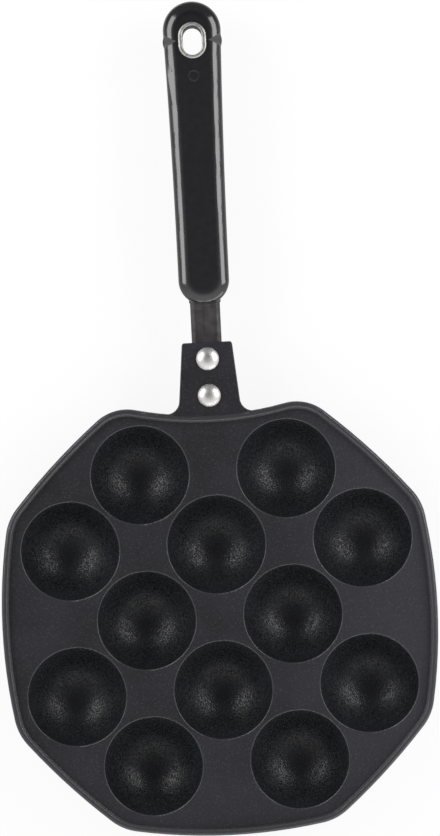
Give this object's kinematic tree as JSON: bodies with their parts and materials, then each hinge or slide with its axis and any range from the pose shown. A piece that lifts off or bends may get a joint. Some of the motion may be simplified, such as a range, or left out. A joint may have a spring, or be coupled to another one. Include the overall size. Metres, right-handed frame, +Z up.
{
  "type": "takoyaki maker",
  "caption": "Stove-top takoyaki pan: half-round cups in a flat lipped plate, with a riveted strap, a long grip and an eyelet to hang it by.",
  "frame": {"origin": "middle of the bounding box at its bottom, in the plane that the cups' feet stand on", "axes": "+Y along the handle, away from the pan, +Z up out of the cups, +X to the right seen from the pan with the handle ahead"},
  "size_m": [0.1976, 0.3782, 0.0283],
  "materials": {
    "coated_aluminium": "cast, with a matt dark grey non-stick coating",
    "blackened_steel": "satin dark coating",
    "bright_aluminium": "satin",
    "black_phenolic": "moulded, gloss",
    "eyelet_steel": "bright",
    "screw_steel": "zinc plated"
  },
  "bodies": {
    "root": {"pan_casting": "coated_aluminium", "handle_strap": "blackened_steel", "rivet_pan_side": "bright_aluminium", "rivet_grip_side": "bright_aluminium", "neck_collar": "blackened_steel", "grip": "black_phenolic", "hanging_eyelet": "eyelet_steel", "grip_screw": "screw_steel"}
  },
  "joints": []
}
